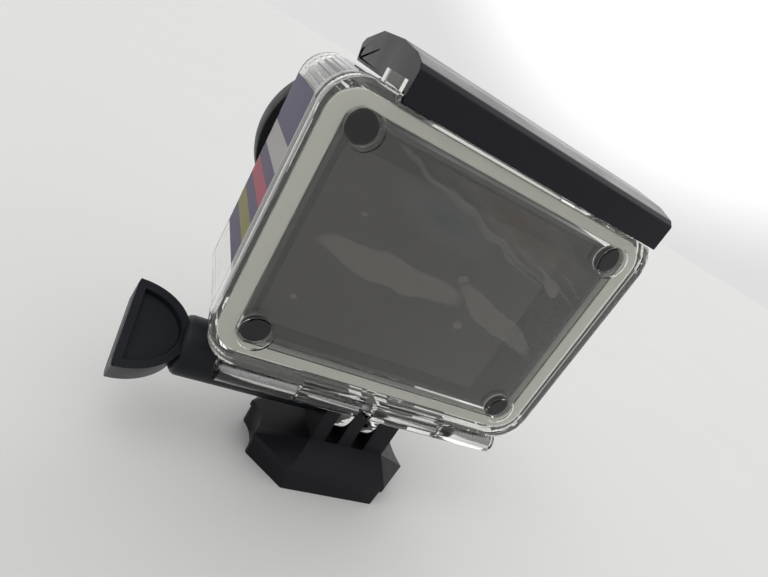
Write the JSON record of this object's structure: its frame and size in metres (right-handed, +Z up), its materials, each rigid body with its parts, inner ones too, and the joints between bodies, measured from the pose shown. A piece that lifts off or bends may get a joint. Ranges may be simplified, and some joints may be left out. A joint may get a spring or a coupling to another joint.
{
  "type": "action camera",
  "caption": "Compact action camera in a clear diving housing with a hinged back door, a latch lever and button plungers, on a tilting tripod adapter with a long thumbscrew.",
  "frame": {"origin": "centre of the tripod socket's mouth, on the adapter's flat bottom face", "axes": "+Z up, the lens faces -Y, the screen and the door face +Y, and the thumbscrew's knob is on +X"},
  "size_m": [0.0839, 0.038, 0.0832],
  "materials": {
    "adapter_plastic": "moulded glass-filled nylon, semi-gloss black",
    "insert_brass": "machined brass",
    "steel": "plain stainless steel",
    "knob_plastic": "moulded satin blue-black plastic",
    "clear_shell": "clear polycarbonate, polished mould",
    "clear_door": "clear polycarbonate, polished mould",
    "silicone": "moulded cream silicone",
    "latch_plastic": "black plastic with a silver-grey satin top",
    "port_black": "moulded black plastic",
    "port_window": "flat polished window",
    "seal_rubber": "black nitrile rubber",
    "plunger_metal": "turned satin metal",
    "key_plastic": "painted grey plastic",
    "camera_plastic": "fine-textured dark plastic",
    "label": "printed film with plain colour bands",
    "screen": "dark screen window",
    "film": "clear protective film with trapped air",
    "display": "liquid crystal panel, switched off",
    "circuit_board": "solder-masked glass epoxy",
    "lens_glass": "coated optical glass",
    "cell_wrap": "plastic battery case",
    "contact_gold": "gold-plated spring contacts",
    "card_plastic": "moulded black plastic"
  },
  "bodies": {
    "adapter": {"tripod_adapter": "adapter_plastic", "tripod_insert": "insert_brass", "clamp_nut": "steel"},
    "thumbscrew": {"thumbscrew_knob": "knob_plastic", "thumbscrew_bolt": "steel"},
    "housing": {"housing_shell": "clear_shell", "hinge_pin": "steel", "latch_pin": "steel", "port_ring": "port_black", "port_glass": "port_window", "port_seal": "seal_rubber", "port_screws": "steel", "plunger_seals": "seal_rubber", "front_cover": "camera_plastic", "rear_cover": "camera_plastic", "case_screws": "steel", "side_label": "label", "screen_glass": "screen", "screen_film": "film", "lcd_panel": "display", "main_board": "circuit_board", "sensor_board": "circuit_board", "image_sensor": "lens_glass", "lens_barrel": "camera_plastic", "front_lens": "lens_glass", "rear_lens": "lens_glass", "lens_ring": "key_plastic", "battery": "cell_wrap", "battery_contacts": "contact_gold", "battery_door": "camera_plastic", "card_socket": "steel", "memory_card": "card_plastic", "usb_port": "steel", "hdmi_port": "steel", "speaker": "card_plastic", "microphone": "steel", "key_switches": "card_plastic", "power_spring": "steel", "shutter_spring": "steel", "up_spring": "steel", "down_spring": "steel"},
    "latch": {"latch_lever": "latch_plastic"},
    "door": {"back_door": "clear_door", "door_pads": "seal_rubber", "door_gasket": "silicone"},
    "power_key": {"power_plunger": "plunger_metal", "power_clip": "steel", "power_button": "key_plastic"},
    "shutter_key": {"shutter_plunger": "plunger_metal", "shutter_clip": "steel", "shutter_button": "key_plastic"},
    "up_key": {"up_plunger": "plunger_metal", "up_clip": "steel", "up_button": "key_plastic"},
    "down_key": {"down_plunger": "plunger_metal", "down_clip": "steel", "down_button": "key_plastic"}
  },
  "joints": [
    {"name": "tilt", "type": "hinge", "parent": "adapter", "child": "housing", "pos_m": [0, 0, 0.0178], "axis": [1, 0, 0], "range_deg": [-35, 50]},
    {"name": "thumbscrew_turn", "type": "hinge", "parent": "adapter", "child": "thumbscrew", "pos_m": [0, 0, 0.0178], "axis": [1, 0, 0], "continuous": true},
    {"name": "latch_lift", "type": "hinge", "parent": "housing", "child": "latch", "pos_m": [0, -0.02, 0.0781], "axis": [1, 0, 0], "range_deg": [0, 95]},
    {"name": "door_open", "type": "hinge", "parent": "housing", "child": "door", "pos_m": [0, 0.01, 0.0224], "axis": [-1, 0, 0], "range_deg": [0, 104.5]},
    {"name": "power_press", "type": "slide", "parent": "housing", "child": "power_key", "axis": [0, 1, 0], "range_m": [0, 0.0009], "stiffness_N_per_m": 900, "springref_m": -0.0012, "deforming": ["power_spring"]},
    {"name": "shutter_press", "type": "slide", "parent": "housing", "child": "shutter_key", "axis": [0, 1, 0], "range_m": [0, 0.0009], "stiffness_N_per_m": 900, "springref_m": -0.0012, "deforming": ["shutter_spring"]},
    {"name": "up_press", "type": "slide", "parent": "housing", "child": "up_key", "axis": [1, 0, 0], "range_m": [0, 0.0009], "stiffness_N_per_m": 900, "springref_m": -0.0012, "deforming": ["up_spring"]},
    {"name": "down_press", "type": "slide", "parent": "housing", "child": "down_key", "axis": [1, 0, 0], "range_m": [0, 0.0009], "stiffness_N_per_m": 900, "springref_m": -0.0012, "deforming": ["down_spring"]}
  ],
  "couplings": [
    {"joint": "door_open", "follows": "latch_lift", "ratio": 1.1}
  ]
}
